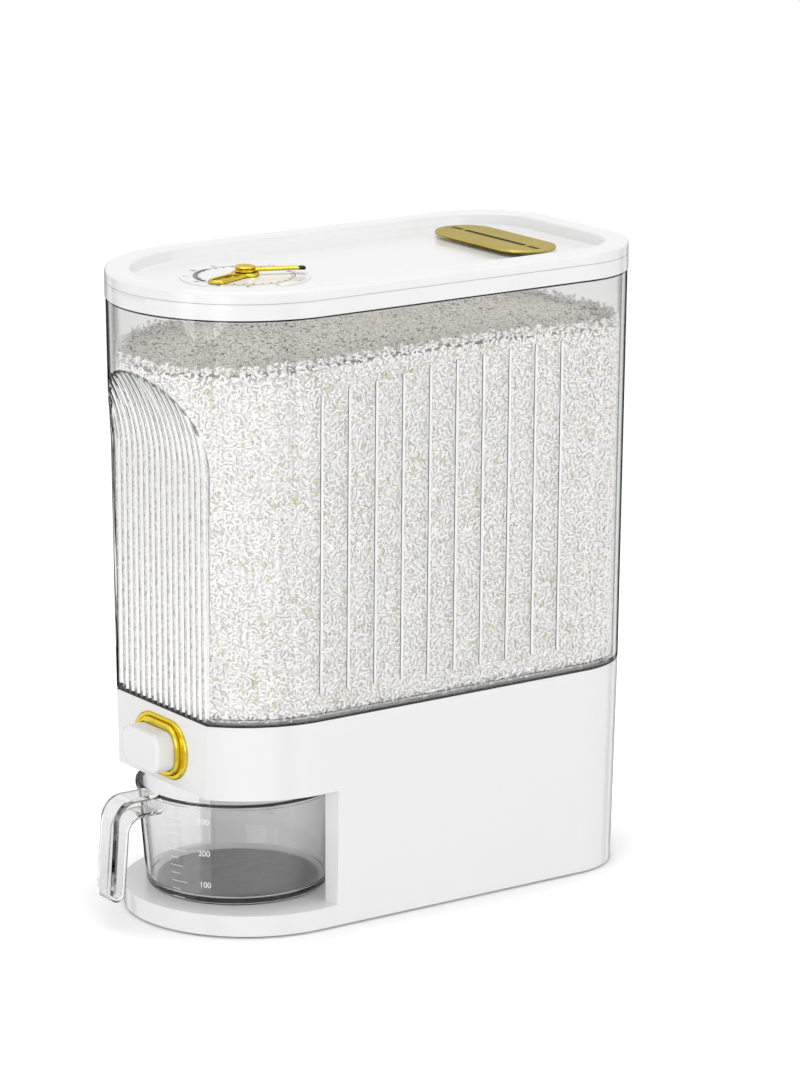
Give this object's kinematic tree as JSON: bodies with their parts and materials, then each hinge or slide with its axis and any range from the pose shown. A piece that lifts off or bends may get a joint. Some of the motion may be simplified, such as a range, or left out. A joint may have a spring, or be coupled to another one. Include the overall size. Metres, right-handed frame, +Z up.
{
  "type": "rice dispenser with drawer",
  "caption": "Countertop grain dispenser: clear tank on a white housing, lift-off lid with a date dial, sprung push button and a clear measuring cup in the alcove below.",
  "frame": {"origin": "on the surface the rubber feet stand on, under the middle of the whole object with its cup handle", "axes": "+Z up, -Y towards the button, the cup and the handle, +X to the right as seen from the front"},
  "size_m": [0.17, 0.3594, 0.4015],
  "materials": {
    "white_plastic": "glossy white moulded plastic",
    "clear_plastic": "clear moulded plastic, polished",
    "gold": "polished yellow gold plating",
    "black_plastic": "glossy black moulded plastic",
    "grey_plastic": "plain moulded plastic, lightly textured",
    "dark_rubber": "matt dark rubber",
    "pale_silicone": "translucent pale silicone",
    "rice": "milled white rice, loose grains",
    "steel": "zinc-plated steel"
  },
  "bodies": {
    "body": {"housing": "white_plastic", "bottom_cover": "grey_plastic", "cover_screws": "steel", "rubber_feet": "dark_rubber", "outlet_chute": "grey_plastic", "chute_screws": "steel", "hopper": "white_plastic", "button_guide": "grey_plastic", "guide_screws": "steel", "button_spring": "steel", "button_bezel": "gold", "tank": "clear_plastic", "tank_gasket": "dark_rubber", "rice_fill": "rice", "collar": "white_plastic"},
    "lid_body": {"lid": "white_plastic", "lid_seal": "pale_silicone", "lid_grip": "gold", "grip_inlay": "black_plastic", "grip_screws": "steel", "dial_plate": "white_plastic", "dial_pin": "steel", "hub_cap": "gold"},
    "month_hand_body": {"month_hand": "gold", "hand_tip": "black_plastic"},
    "day_hand_body": {"day_hand": "gold"},
    "button_body": {"button_cap": "white_plastic", "push_rod": "grey_plastic", "gate_slide": "grey_plastic", "gate_screws": "steel"},
    "cup_body": {"cup": "clear_plastic", "cup_pad": "dark_rubber", "cup_handle": "clear_plastic"}
  },
  "joints": [
    {"name": "lid_lift", "type": "slide", "parent": "body", "child": "lid_body", "axis": [0, 0, 1], "range_m": [0, 0.12]},
    {"name": "month_hand_turn", "type": "hinge", "parent": "lid_body", "child": "month_hand_body", "pos_m": [0, -0.0738, 0.3989], "axis": [0, 0, 1], "continuous": true},
    {"name": "day_hand_turn", "type": "hinge", "parent": "lid_body", "child": "day_hand_body", "pos_m": [0, -0.0738, 0.3966], "axis": [0, 0, 1], "continuous": true},
    {"name": "button_push", "type": "slide", "parent": "body", "child": "button_body", "axis": [0, 1, 0], "range_m": [0, 0.012], "stiffness_N_per_m": 350, "springref_m": -0.006, "deforming": ["button_spring"]},
    {"name": "cup_slide", "type": "slide", "parent": "body", "child": "cup_body", "axis": [0, -1, 0], "range_m": [0, 0.15]}
  ]
}
